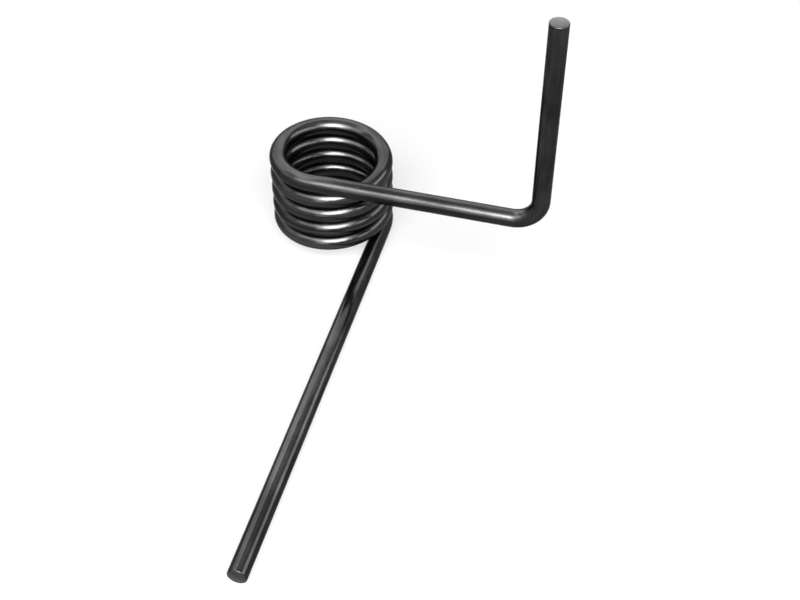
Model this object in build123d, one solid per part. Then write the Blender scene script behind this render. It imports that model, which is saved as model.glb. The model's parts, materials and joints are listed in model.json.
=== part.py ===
from build123d import *

import os
from math import atan2, ceil, cos, pi, sin

# Torsion spring, wound right-hand from one length of round spring-steel wire.
# A straight leg runs level off the bottom of the coil, and an arm runs level off the top, a quarter turn
# further round, and turns up at a right angle into a short upright.
#
# Millimetres. +Z is the axis of the coil. The origin lies on that axis, level with the underside of the
# lower leg, which is the lowest line of the spring. The lower leg points along -Y and the arm along +X.

# The wire and the coil
wire_diameter = 2.0
coil_mean_diameter = 12.0  # centre of the wire to centre of the wire, so 10 inside and 14 outside
coil_pitch = 2.1  # rise in one turn: the turns stand a tenth of a millimetre apart
coil_turns = 4.75

# The two ends
lower_leg_length = 49.7  # from where the wire leaves the coil to its cut end
arm_reach = 25.0  # from the coil's axis to the axis of the upright
upright_length = 24.7  # from the centre line of the arm to the cut end
bend_radius = 3.0  # at the centre of the wire, so 2 inside the bend: one wire diameter
cut_edge_break = 0.1  # chamfer left by deburring the two cut ends

# A slight bend brings the wire nearly level as it leaves the coil, and a slacker one does the rest
levelling_length = 1.5  # of wire in the slight bend
easing_length = 3.5  # of wire in the slacker one
easing_share = 0.1  # of the coil's climb that is left to the slacker one

# How finely the coil is laid
rings_per_turn = 24

# Sizes that follow
wire_radius = wire_diameter / 2
coil_radius = coil_mean_diameter / 2
coil_height = coil_pitch * coil_turns
lead_angle = atan2(coil_pitch, pi * coil_mean_diameter)
easing_angle = easing_share * lead_angle
easing_radius = easing_length / easing_angle
easing_rise = easing_radius * (1 - cos(easing_angle))
easing_reach = easing_radius * sin(easing_angle)
levelling_radius = levelling_length / (lead_angle - easing_angle)
levelling_rise = levelling_radius * (cos(easing_angle) - cos(lead_angle))
levelling_reach = levelling_radius * (sin(lead_angle) - sin(easing_angle))

# Heights of the wire's centre line
leg_height = wire_radius
coil_start_height = leg_height + easing_rise + levelling_rise
coil_end_height = coil_start_height + coil_height
arm_height = coil_end_height + levelling_rise + easing_rise
tip_height = arm_height + upright_length


def wire_section(where, along, across):
    """The round section of the wire at a point, square to the direction that the wire takes there."""
    return Plane(origin=where, x_dir=across, z_dir=along) * Circle(wire_radius)


def break_cut_edge(end_piece, where):
    """Take the sharp edge off the cut end whose centre is at the given point."""
    cut_face = end_piece.faces().sort_by_distance(where)[0]
    return chamfer(cut_face.edges(), cut_edge_break)


def coil():
    """The coil: rings of the wire's section set square to a helix, and skinned one turn at a time."""
    helix = Helix(coil_pitch, coil_height, coil_radius, center=(0, 0, coil_start_height))
    ring_count = round(rings_per_turn * coil_turns)

    def ring(number):
        place = number / ring_count
        centre = helix @ place
        return wire_section(centre, helix % place, Vector(centre.X, centre.Y, 0))

    pieces = []
    for turn in range(ceil(coil_turns)):
        first = turn * rings_per_turn
        last = min(first + rings_per_turn, ring_count)
        rings = [ring(number) for number in range(first, last + 1)]
        pieces.append(loft(rings, ruled=True))
    return Part() + pieces


def lower_leg():
    """The straight leg, and the two slight bends that lead its level run into the rising coil."""
    cut_end = Vector(coil_radius, -lower_leg_length, leg_height)
    easing_start = Vector(coil_radius, -levelling_reach - easing_reach, leg_height)
    levelling_start = Vector(coil_radius, -levelling_reach, leg_height + easing_rise)
    coil_start = Vector(coil_radius, 0, coil_start_height)
    straight = Line(cut_end, easing_start)
    easing = TangentArc(easing_start, levelling_start, tangent=(0, 1, 0))
    levelling = TangentArc(levelling_start, coil_start, tangent=easing % 1)
    path = Wire([straight, easing, levelling])
    leg = sweep(wire_section(cut_end, (0, 1, 0), (1, 0, 0)), path=path)
    return break_cut_edge(leg, cut_end)


def upper_arm():
    """The two slight bends out of the coil, the level arm, its right-angle bend and the upright."""
    coil_end = Vector(0, -coil_radius, coil_end_height)
    easing_start = Vector(levelling_reach, -coil_radius, coil_end_height + levelling_rise)
    arm_start = Vector(levelling_reach + easing_reach, -coil_radius, arm_height)
    corner_start = Vector(arm_reach - bend_radius, -coil_radius, arm_height)
    corner_end = Vector(arm_reach, -coil_radius, arm_height + bend_radius)
    cut_end = Vector(arm_reach, -coil_radius, tip_height)
    easing = TangentArc(arm_start, easing_start, tangent=(-1, 0, 0))
    levelling = TangentArc(easing_start, coil_end, tangent=easing % 1)
    arm = Line(arm_start, corner_start)
    corner = TangentArc(corner_start, corner_end, tangent=(1, 0, 0))
    upright = Line(corner_end, cut_end)
    path = Wire([upright, corner, arm, easing, levelling])
    piece = sweep(wire_section(cut_end, (0, 0, -1), (0, 1, 0)), path=path)
    return break_cut_edge(piece, cut_end)


def spring_wire():
    """The whole spring as the one wire that it is."""
    wire = lower_leg() + coil() + upper_arm()
    return wire.solid()


os.makedirs("parts", exist_ok=True)
export_step(spring_wire(), "parts/spring_wire.step")
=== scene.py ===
import json
from math import atan2, cos, pi, radians, sin, tan, tau

import bmesh
import bpy
from mathutils import Euler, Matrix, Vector


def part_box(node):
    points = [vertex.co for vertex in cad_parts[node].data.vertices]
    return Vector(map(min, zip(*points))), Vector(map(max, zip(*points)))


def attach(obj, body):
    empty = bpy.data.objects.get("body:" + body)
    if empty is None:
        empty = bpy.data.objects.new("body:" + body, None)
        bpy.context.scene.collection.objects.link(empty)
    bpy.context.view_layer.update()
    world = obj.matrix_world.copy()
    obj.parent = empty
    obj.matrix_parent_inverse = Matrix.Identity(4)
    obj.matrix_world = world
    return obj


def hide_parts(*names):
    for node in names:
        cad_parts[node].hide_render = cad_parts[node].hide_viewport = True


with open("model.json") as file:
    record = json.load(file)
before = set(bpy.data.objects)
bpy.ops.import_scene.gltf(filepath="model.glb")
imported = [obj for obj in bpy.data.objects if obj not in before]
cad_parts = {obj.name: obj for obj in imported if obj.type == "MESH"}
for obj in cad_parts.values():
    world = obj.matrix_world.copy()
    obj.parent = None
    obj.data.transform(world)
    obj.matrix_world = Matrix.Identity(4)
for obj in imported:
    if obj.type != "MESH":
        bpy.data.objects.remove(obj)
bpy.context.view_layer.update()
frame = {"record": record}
print("frame loaded")

mm = 0.001
mounts = {mount["name"]: mount for mount in frame["record"]["mounts"]}
wireLow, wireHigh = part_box("spring_wire")


# The wire

springWire = {
    "pitch": 2.1 * mm,  # rise in one turn
    "turns": 4.75,
    "levelling": 1.5 * mm,  # of wire in the slight bend at each end of the coil that takes most of its climb
    "easing": 3.5 * mm,  # of wire in the slacker bend after it
    "easingShare": 0.1,  # of the climb that the slacker bend takes
    "cornerRadius": 3 * mm,  # at the centre of the wire
    "cutEdge": 0.1 * mm,  # rounding left by deburring
    "cutEdgeSteps": 3,
    "sides": 48,  # round the wire
    "ringsPerTurn": 96,
    "bendRings": 4,  # in each slight bend
    "cornerRings": 24,
    "weld": 0.001 * mm,  # points closer than this become one
    "sharpFrom": 35,  # degrees between faces whose edge stays sharp
}

wireRadius = mounts["lower_leg"]["dims"]["r_mm"] * mm
coilRadius = mounts["arbor"]["dims"]["r_mm"] * mm + wireRadius  # to the centre of the wire
legHeight = mounts["lower_leg"]["pos_m"][2]
armReach = mounts["upright_leg"]["pos_m"][0]
leadAngle = atan2(springWire["pitch"], tau * coilRadius)
turnLength = tau * coilRadius / cos(leadAngle)
easingAngle = springWire["easingShare"] * leadAngle
easingRadius = springWire["easing"] / easingAngle
levellingAngle = leadAngle - easingAngle
levellingRadius = springWire["levelling"] / levellingAngle
levelRise = easingRadius * (1 - cos(easingAngle)) + levellingRadius * (cos(easingAngle) - cos(leadAngle))
levelReach = easingRadius * sin(easingAngle) + levellingRadius * (sin(leadAngle) - sin(easingAngle))
coilBottom = legHeight + levelRise
coilTop = coilBottom + springWire["pitch"] * springWire["turns"]
armHeight = coilTop + levelRise


def startEditing(piece):
    bpy.ops.object.select_all(action="DESELECT")
    piece.select_set(True)
    bpy.context.view_layer.objects.active = piece
    bpy.ops.object.mode_set(mode="EDIT")
    bpy.ops.mesh.select_mode(type="VERT")
    bpy.ops.mesh.select_all(action="DESELECT")


def selectRing(piece, centre):
    reach = 1.02 * wireRadius  # just past the ring
    cage = bmesh.from_edit_mesh(piece.data)
    for vertex in cage.verts:
        vertex.select_set((vertex.co - centre).length < reach)
    cage.select_flush_mode()
    bmesh.update_edit_mesh(piece.data)


def markAlong(piece, length):  # the ring just made lies this much further along the wire
    cage = bmesh.from_edit_mesh(piece.data)
    drawnPlace = cage.verts.layers.float_vector["drawnPlace"]
    for vertex in cage.verts:
        if vertex.select:
            vertex[drawnPlace] = vertex[drawnPlace] + Vector((0, 0, length))


def pullStraight(piece, move, onward):
    bpy.ops.mesh.extrude_region_move(TRANSFORM_OT_translate={"value": move})
    markAlong(piece, onward * Vector(move).length)


def pullBend(piece, centre, axis, angle, radius, rings, onward):
    for ring in range(rings):
        bpy.ops.mesh.spin(steps=1, angle=angle / rings, center=centre, axis=axis)
        markAlong(piece, onward * angle * radius / rings)


def closeCutEnd():
    bpy.ops.mesh.edge_face_add()
    bpy.ops.mesh.bevel(offset=springWire["cutEdge"], segments=springWire["cutEdgeSteps"], affect="EDGES")


def windCoil():
    # A ring of the round section, tilted square to the helix, is screwed up through all the turns.
    # drawnPlace keeps where each point lay on the straight wire before it was wound.
    bpy.ops.object.select_all(action="DESELECT")
    bpy.ops.mesh.primitive_circle_add(
        vertices=springWire["sides"],
        radius=wireRadius,
        location=(coilRadius, 0, coilBottom),
        rotation=(leadAngle - pi / 2, 0, 0),
    )
    piece = bpy.context.object
    piece.name = "springWire"
    section = [value for vertex in piece.data.vertices for value in vertex.co]
    piece.data.attributes.new("drawnPlace", "FLOAT_VECTOR", "POINT").data.foreach_set("vector", section)
    bpy.ops.object.transform_apply(location=True, rotation=True, scale=True)
    coil = piece.modifiers.new("coil", "SCREW")
    coil.angle = tau * springWire["turns"]
    coil.screw_offset = coilTop - coilBottom
    coil.steps = coil.render_steps = round(springWire["ringsPerTurn"] * springWire["turns"])
    bpy.ops.object.modifier_apply(modifier=coil.name)
    for number, spot in enumerate(piece.data.attributes["drawnPlace"].data):
        spot.vector.z = number // springWire["sides"] * turnLength / springWire["ringsPerTurn"]
    return piece


def pullLevel(piece, levellingCentre, easingCentre, axis, onward):
    rings = springWire["bendRings"]
    pullBend(piece, levellingCentre, axis, levellingAngle, levellingRadius, rings, onward)
    pullBend(piece, easingCentre, axis, easingAngle, easingRadius, rings, onward)


def pullLowerLeg(piece):
    startEditing(piece)
    selectRing(piece, Vector((coilRadius, 0, coilBottom)))
    aside, above = levellingRadius * sin(leadAngle), levellingRadius * cos(leadAngle)
    levellingCentre = (coilRadius, -aside, coilBottom + above)
    easingCentre = (coilRadius, -levelReach, legHeight + easingRadius)
    pullLevel(piece, levellingCentre, easingCentre, (1, 0, 0), -1)
    pullStraight(piece, (0, wireLow.y + levelReach, 0), -1)
    closeCutEnd()
    bpy.ops.object.mode_set(mode="OBJECT")


def pullArmAndUpright(piece):
    corner = springWire["cornerRadius"]
    startEditing(piece)
    selectRing(piece, Vector((0, -coilRadius, coilTop)))
    aside, below = levellingRadius * sin(leadAngle), levellingRadius * cos(leadAngle)
    levellingCentre = (aside, -coilRadius, coilTop - below)
    easingCentre = (levelReach, -coilRadius, armHeight - easingRadius)
    pullLevel(piece, levellingCentre, easingCentre, (0, -1, 0), 1)
    pullStraight(piece, (armReach - corner - levelReach, 0, 0), 1)
    cornerCentre = (armReach - corner, -coilRadius, armHeight + corner)
    pullBend(piece, cornerCentre, (0, 1, 0), pi / 2, corner, springWire["cornerRings"], 1)
    pullStraight(piece, (0, 0, wireHigh.z - armHeight - corner), 1)
    closeCutEnd()
    bpy.ops.object.mode_set(mode="OBJECT")


def tidyMesh(piece):
    startEditing(piece)
    bpy.ops.mesh.select_all(action="SELECT")
    bpy.ops.mesh.remove_doubles(threshold=springWire["weld"])
    bpy.ops.mesh.normals_make_consistent(inside=False)
    bpy.ops.object.mode_set(mode="OBJECT")
    bpy.ops.object.shade_smooth_by_angle(angle=radians(springWire["sharpFrom"]))


wire = windCoil()
print("coil wound:", len(wire.data.vertices), "vertices")
pullLowerLeg(wire)
pullArmAndUpright(wire)
tidyMesh(wire)
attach(wire, "root")
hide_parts("spring_wire")
print("wire finished:", len(wire.data.polygons), "faces")


# Finishes

def addNode(tree, kind, settings=None, inputs=None):
    node = tree.nodes.new(kind)
    for name, value in (settings or {}).items():
        setattr(node, name, value)
    for name, value in (inputs or {}).items():
        if isinstance(value, bpy.types.NodeSocket):
            tree.links.new(value, node.inputs[name])
        else:
            node.inputs[name].default_value = value
    return node


def calculate(tree, operation, first, second):
    return addNode(tree, "ShaderNodeMath", {"operation": operation}, {0: first, 1: second}).outputs[0]


def ramp(tree, value, start, end, low=0.0, high=1.0, smooth=False):
    kind = "SMOOTHSTEP" if smooth else "LINEAR"
    inputs = {"Value": value, "From Min": start, "From Max": end, "To Min": low, "To Max": high}
    return addNode(tree, "ShaderNodeMapRange", {"interpolation_type": kind}, inputs).outputs["Result"]


def blend(tree, factor, first, second):
    mixer = addNode(tree, "ShaderNodeMix", {"data_type": "RGBA"}, {"Factor": factor})
    for socket, colour in ((mixer.inputs[6], first), (mixer.inputs[7], second)):
        if isinstance(colour, bpy.types.NodeSocket):
            tree.links.new(colour, socket)
        else:
            socket.default_value = (*colour, 1)
    return mixer.outputs[2]


def makeDrawnGrain():
    # Noise on the straight wire, stretched to a grain of the given size in millimetres
    tree = bpy.data.node_groups.new("drawnGrain", "ShaderNodeTree")
    tree.interface.new_socket("Grain Size", in_out="INPUT", socket_type="NodeSocketVector")
    tree.interface.new_socket("Detail", in_out="INPUT", socket_type="NodeSocketFloat")
    tree.interface.new_socket("Grain", in_out="OUTPUT", socket_type="NodeSocketFloat")
    given = addNode(tree, "NodeGroupInput")
    result = addNode(tree, "NodeGroupOutput")
    place = addNode(tree, "ShaderNodeAttribute", {"attribute_name": "drawnPlace"})
    inMillimetres = addNode(
        tree, "ShaderNodeVectorMath", {"operation": "SCALE"}, {0: place.outputs["Vector"], "Scale": 1 / mm}
    )
    stretched = addNode(
        tree,
        "ShaderNodeVectorMath",
        {"operation": "DIVIDE"},
        {0: inMillimetres.outputs[0], 1: given.outputs["Grain Size"]},
    )
    noise = addNode(
        tree,
        "ShaderNodeTexNoise",
        {"noise_dimensions": "3D"},
        {"Vector": stretched.outputs[0], "Scale": 1, "Detail": given.outputs["Detail"], "Roughness": 0.55},
    )
    tree.links.new(noise.outputs["Fac"], result.inputs["Grain"])
    return tree


drawnGrain = makeDrawnGrain()


def grain(tree, size, detail):
    node = addNode(tree, "ShaderNodeGroup", {"node_tree": drawnGrain}, {"Grain Size": size, "Detail": detail})
    return node.outputs["Grain"]


temperedSteel = {
    "darkOxide": (0.014, 0.014, 0.015),
    "paleOxide": (0.029, 0.029, 0.029),
    "rubbedSteel": (0.085, 0.084, 0.082),
    "metallic": 0.92,
    "smooth": 0.13,  # roughness where the oxide is tight
    "dull": 0.23,  # and where it is powdery
    "edgeTint": (0.5, 0.5, 0.5),
    "dieLine": (0.06, 0.06, 14),  # sizes in millimetres: across, across, along
    "streak": (0.32, 0.32, 40),
    "cloud": (1.5, 1.5, 4.5),
    "pit": (0.09, 0.09, 0.25),
    "relief": 0.004 * mm,
    "rubbing": 0.5,  # how far the coiling tool has bared the outside of the coil
    "rubbedFade": 2 * mm,  # at either end of the coil
    # Each mask below is 0 up to its first number and 1 from its second
    "pitted": (0.66, 0.74),
    "outermost": (0.86, 0.99),  # in wire radii
    "unbroken": (0.95, 1.15),  # along the rubbed band
    "pale": (0.66, 0.94),
    "powdery": (0.6, 0.9),
    "streakInTone": 0.6,  # how much the streaks add to the clouds of the oxide
    "dieLineInGloss": 0.5,
}


def makeTemperedSteel():
    material = bpy.data.materials.new("temperedSteel")
    material.use_nodes = True
    tree = material.node_tree
    shader = tree.nodes["Principled BSDF"]
    dieLines = grain(tree, temperedSteel["dieLine"], 3)
    streaks = grain(tree, temperedSteel["streak"], 2)
    clouds = grain(tree, temperedSteel["cloud"], 5)
    pits = ramp(tree, grain(tree, temperedSteel["pit"], 1), *temperedSteel["pitted"])

    place = addNode(tree, "ShaderNodeAttribute", {"attribute_name": "drawnPlace"})
    drawn = addNode(tree, "ShaderNodeSeparateXYZ", inputs={0: place.outputs["Vector"]})
    inner, outer = [share * wireRadius for share in temperedSteel["outermost"]]
    outward = ramp(tree, drawn.outputs["X"], inner, outer, smooth=True)
    coilEnd = turnLength * springWire["turns"]
    enters = ramp(tree, drawn.outputs["Z"], 0, temperedSteel["rubbedFade"], smooth=True)
    leaves = ramp(tree, drawn.outputs["Z"], coilEnd, coilEnd - temperedSteel["rubbedFade"])
    inCoil = calculate(tree, "MULTIPLY", enters, leaves)
    rubbedBand = calculate(tree, "MULTIPLY", outward, inCoil)
    marks = calculate(tree, "ADD", dieLines, streaks)
    unbroken = ramp(tree, marks, *temperedSteel["unbroken"])
    bared = calculate(tree, "MULTIPLY", rubbedBand, unbroken)
    rubbed = calculate(tree, "MULTIPLY", bared, temperedSteel["rubbing"])

    tone = calculate(tree, "ADD", clouds, calculate(tree, "MULTIPLY", streaks, temperedSteel["streakInTone"]))
    pale = ramp(tree, tone, *temperedSteel["pale"])
    oxide = blend(tree, pale, temperedSteel["darkOxide"], temperedSteel["paleOxide"])
    colour = blend(tree, rubbed, oxide, temperedSteel["rubbedSteel"])
    tree.links.new(colour, shader.inputs["Base Color"])

    scoring = calculate(tree, "MULTIPLY", dieLines, temperedSteel["dieLineInGloss"])
    wander = calculate(tree, "ADD", scoring, clouds)
    rough = ramp(tree, wander, *temperedSteel["powdery"], temperedSteel["smooth"], temperedSteel["dull"])
    tree.links.new(rough, shader.inputs["Roughness"])

    relief = calculate(tree, "SUBTRACT", marks, pits)
    bump = addNode(tree, "ShaderNodeBump", inputs={"Height": relief, "Distance": temperedSteel["relief"]})
    tree.links.new(bump.outputs["Normal"], shader.inputs["Normal"])
    shader.inputs["Metallic"].default_value = temperedSteel["metallic"]
    shader.inputs["Specular Tint"].default_value = (*temperedSteel["edgeTint"], 1)
    return material


cutSteel = {
    "bare": (0.034, 0.0335, 0.033),
    "torn": (0.024, 0.0235, 0.023),
    "smooth": 0.30,
    "dull": 0.42,
    "shearLine": (0.07, 1.2, 1.2),  # millimetres
    "cloud": (0.5, 0.5, 0.5),
    "relief": 0.01 * mm,
    "bright": (0.35, 0.65),  # masks, as for the oxide
    "ragged": (0.3, 0.7),
}


def makeCutSteel():
    material = bpy.data.materials.new("cutSteel")
    material.use_nodes = True
    tree = material.node_tree
    shader = tree.nodes["Principled BSDF"]
    shearLines = grain(tree, cutSteel["shearLine"], 3)
    clouds = grain(tree, cutSteel["cloud"], 4)
    colour = blend(tree, ramp(tree, clouds, *cutSteel["bright"]), cutSteel["torn"], cutSteel["bare"])
    tree.links.new(colour, shader.inputs["Base Color"])
    rough = ramp(tree, shearLines, *cutSteel["ragged"], cutSteel["smooth"], cutSteel["dull"])
    tree.links.new(rough, shader.inputs["Roughness"])
    relief = calculate(tree, "ADD", shearLines, clouds)
    bump = addNode(tree, "ShaderNodeBump", inputs={"Height": relief, "Distance": cutSteel["relief"]})
    tree.links.new(bump.outputs["Normal"], shader.inputs["Normal"])
    shader.inputs["Metallic"].default_value = 1
    return material


def coatWire(piece):
    piece.data.materials.append(makeTemperedSteel())
    piece.data.materials.append(makeCutSteel())
    nearEnd = 0.5 * springWire["cutEdge"]
    square = 0.9  # of a normal, along the wire
    for face in piece.data.polygons:
        lowerCut = face.normal.y < -square and face.center.y < wireLow.y + nearEnd
        upperCut = face.normal.z > square and face.center.z > wireHigh.z - nearEnd
        face.material_index = 1 if lowerCut or upperCut else 0


coatWire(wire)
print("wire coated")


# The floor, the room and the lamps

def seenRay(tree):  # 1 where the camera or a reflection looks, and 0 where light only falls
    path = addNode(tree, "ShaderNodeLightPath")
    mirrored = calculate(tree, "MAXIMUM", path.outputs["Is Glossy Ray"], path.outputs["Is Transmission Ray"])
    return calculate(tree, "MAXIMUM", path.outputs["Is Camera Ray"], mirrored)


floorPaint = {
    "size": 3,  # metres
    "colour": (0.35, 0.35, 0.35),
    "nearGlow": 0.6,  # as seen, on top of what the lamps light
    "farGlow": 1.0,  # where the lamps don't reach
    "near": 0.12,  # metres from the spring
    "far": 0.45,
}


def layFloor():
    bpy.ops.object.select_all(action="DESELECT")
    bpy.ops.mesh.primitive_plane_add(size=floorPaint["size"])
    floor = bpy.context.object
    floor.name = "floor"
    material = bpy.data.materials.new("floorPaint")
    material.use_nodes = True
    tree = material.node_tree
    shader = tree.nodes["Principled BSDF"]
    shader.inputs["Base Color"].default_value = (*floorPaint["colour"], 1)
    shader.inputs["Roughness"].default_value = 1
    shader.inputs["Specular IOR Level"].default_value = 0
    shader.inputs["Emission Color"].default_value = (1, 1, 1, 1)
    place = addNode(tree, "ShaderNodeTexCoord").outputs["Object"]
    away = addNode(tree, "ShaderNodeVectorMath", {"operation": "LENGTH"}, {0: place}).outputs["Value"]
    reach = (floorPaint["near"], floorPaint["far"])
    glow = ramp(tree, away, *reach, floorPaint["nearGlow"], floorPaint["farGlow"], smooth=True)
    tree.links.new(calculate(tree, "MULTIPLY", glow, seenRay(tree)), shader.inputs["Emission Strength"])
    floor.data.materials.append(material)


room = {
    "walls": 1.0,  # as seen, with 1 for white
    "ceiling": 2.4,
    "ceilingStarts": 42,  # degrees up
    "ceilingFull": 72,
    "light": 0.1,  # that it throws on things
}


def paintRoom():
    world = bpy.data.worlds.new("room")
    bpy.context.scene.world = world
    world.use_nodes = True
    tree = world.node_tree
    direction = addNode(tree, "ShaderNodeTexCoord").outputs["Generated"]
    height = addNode(tree, "ShaderNodeSeparateXYZ", inputs={0: direction}).outputs["Z"]
    starts = sin(radians(room["ceilingStarts"]))
    full = sin(radians(room["ceilingFull"]))
    seen = ramp(tree, height, starts, full, room["walls"], room["ceiling"])
    strength = addNode(tree, "ShaderNodeMix", inputs={"Factor": seenRay(tree), "A": room["light"], "B": seen})
    background = tree.nodes["Background"]
    background.inputs["Color"].default_value = (1, 1, 1, 1)
    tree.links.new(strength.outputs[0], background.inputs["Strength"])


def facing(azimuth, elevation):  # the turn of a camera or lamp that looks at the spring from there
    return Euler((radians(90 - elevation), 0, radians(azimuth)))


def standing(aim, azimuth, elevation, distance):
    back = Vector((0, 0, 1))
    back.rotate(facing(azimuth, elevation))
    return Vector(aim) + back * distance


lampDistance = 0.6
cardDistance = 0.98 * lampDistance  # the cards hang just in front of the box
lampAim = (6 * mm, -8 * mm, 8 * mm)

# Angles in degrees as seen from the spring. A radiance of 1 is as bright as white paint in the room.
# The key box lights everything, and the cards show only in what is glossy.
lamps = {
    "keyBox": {"azimuth": 14, "elevation": 46, "across": 60, "tall": 48, "radiance": 7.5},
    "glintCard": {
        "azimuth": 14, "elevation": 41, "across": 39, "tall": 36, "radiance": 50, "shape": "ELLIPSE"
    },
    "skirtCard": {"azimuth": -5, "elevation": 16, "across": 20, "tall": 30, "radiance": 5},
    "fillCard": {"azimuth": -38, "elevation": 41, "across": 38, "tall": 24, "radiance": 8.3},
    "lowCard": {"azimuth": -52, "elevation": 17, "across": 56, "tall": 24, "radiance": 1.1},
    "leftCard": {"azimuth": -90, "elevation": 28, "across": 40, "tall": 26, "radiance": 1.8},
    "highCard": {"azimuth": -100, "elevation": 61, "across": 40, "tall": 17, "radiance": 5},
    "sideCard": {"azimuth": 92, "elevation": 27, "across": 66, "tall": 24, "radiance": 9},
    "backCard": {"azimuth": 202, "elevation": 35, "across": 84, "tall": 48, "radiance": 4.8},
}


def hangLamp(name, lamp):
    card = name.endswith("Card")
    distance = cardDistance if card else lampDistance
    place = standing(lampAim, lamp["azimuth"], lamp["elevation"], distance)
    bpy.ops.object.light_add(type="AREA", location=place, rotation=facing(lamp["azimuth"], lamp["elevation"]))
    light = bpy.context.object
    light.name = name
    light.visible_diffuse = not card
    light.data.shape = lamp.get("shape", "RECTANGLE")
    light.data.size = 2 * distance * tan(radians(lamp["across"] / 2))
    light.data.size_y = 2 * distance * tan(radians(lamp["tall"] / 2))
    filled = pi / 4 if light.data.shape == "ELLIPSE" else 1
    light.data.energy = lamp["radiance"] * pi * filled * light.data.size * light.data.size_y


viewpoint = {
    "azimuth": 15,  # degrees round from looking along +Y
    "elevation": 45,  # degrees above the floor
    "aim": (10.87 * mm, -10.36 * mm, 0),
    "distance": 142.3 * mm,
    "fieldOfView": 35,  # degrees across
    "nearest": 1 * mm,  # that it sees
}


def setCamera():
    azimuth = viewpoint["azimuth"]
    elevation = viewpoint["elevation"]
    place = standing(viewpoint["aim"], azimuth, elevation, viewpoint["distance"])
    bpy.ops.object.camera_add(location=place, rotation=facing(azimuth, elevation))
    camera = bpy.context.object
    camera.data.angle = radians(viewpoint["fieldOfView"])
    camera.data.clip_start = viewpoint["nearest"]
    bpy.context.scene.camera = camera


layFloor()
paintRoom()
for name, lamp in lamps.items():
    hangLamp(name, lamp)
setCamera()
bpy.context.scene.view_settings.view_transform = "Standard"
print("floor, room, lamps and camera set")
